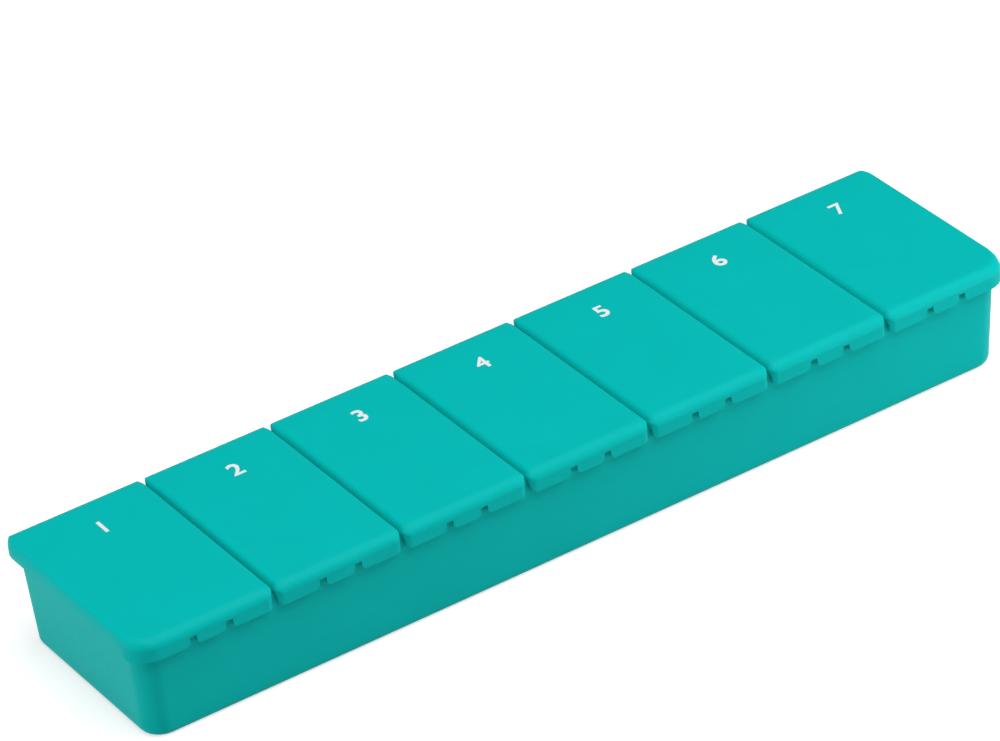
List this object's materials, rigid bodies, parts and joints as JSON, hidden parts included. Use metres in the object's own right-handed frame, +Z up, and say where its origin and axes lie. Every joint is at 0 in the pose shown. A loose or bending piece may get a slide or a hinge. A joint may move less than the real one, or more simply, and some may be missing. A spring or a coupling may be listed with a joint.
{
  "type": "weekly pill box",
  "caption": "Long rectangular pill box with a row of hinged snap lids over separate compartments.",
  "frame": {"origin": "middle of the tray's underside, below the centre of the overall outline", "axes": "+X along the row towards the last lid, +Y from the front tabs to the rear hinges, +Z up"},
  "size_m": [0.1546, 0.0376, 0.018],
  "materials": {
    "tray_plastic": "satin teal moulded polypropylene",
    "lid_plastic": "satin teal moulded polypropylene"
  },
  "bodies": {
    "tray": {"tray": "tray_plastic"},
    "lid_1": {"lid_1": "lid_plastic"},
    "lid_2": {"lid_2": "lid_plastic"},
    "lid_3": {"lid_3": "lid_plastic"},
    "lid_4": {"lid_4": "lid_plastic"},
    "lid_5": {"lid_5": "lid_plastic"},
    "lid_6": {"lid_6": "lid_plastic"},
    "lid_7": {"lid_7": "lid_plastic"}
  },
  "joints": [
    {"name": "lid_1_hinge", "type": "hinge", "parent": "tray", "child": "lid_1", "pos_m": [-0.0648, 0.0166, 0.01579], "axis": [-1, 0, 0], "range_deg": [0, 110]},
    {"name": "lid_2_hinge", "type": "hinge", "parent": "tray", "child": "lid_2", "pos_m": [-0.0432, 0.0166, 0.01579], "axis": [-1, 0, 0], "range_deg": [0, 110]},
    {"name": "lid_3_hinge", "type": "hinge", "parent": "tray", "child": "lid_3", "pos_m": [-0.0216, 0.0166, 0.01579], "axis": [-1, 0, 0], "range_deg": [0, 110]},
    {"name": "lid_4_hinge", "type": "hinge", "parent": "tray", "child": "lid_4", "pos_m": [0, 0.0166, 0.01579], "axis": [-1, 0, 0], "range_deg": [0, 110]},
    {"name": "lid_5_hinge", "type": "hinge", "parent": "tray", "child": "lid_5", "pos_m": [0.0216, 0.0166, 0.01579], "axis": [-1, 0, 0], "range_deg": [0, 110]},
    {"name": "lid_6_hinge", "type": "hinge", "parent": "tray", "child": "lid_6", "pos_m": [0.0432, 0.0166, 0.01579], "axis": [-1, 0, 0], "range_deg": [0, 110]},
    {"name": "lid_7_hinge", "type": "hinge", "parent": "tray", "child": "lid_7", "pos_m": [0.0648, 0.0166, 0.01579], "axis": [-1, 0, 0], "range_deg": [0, 110]}
  ]
}
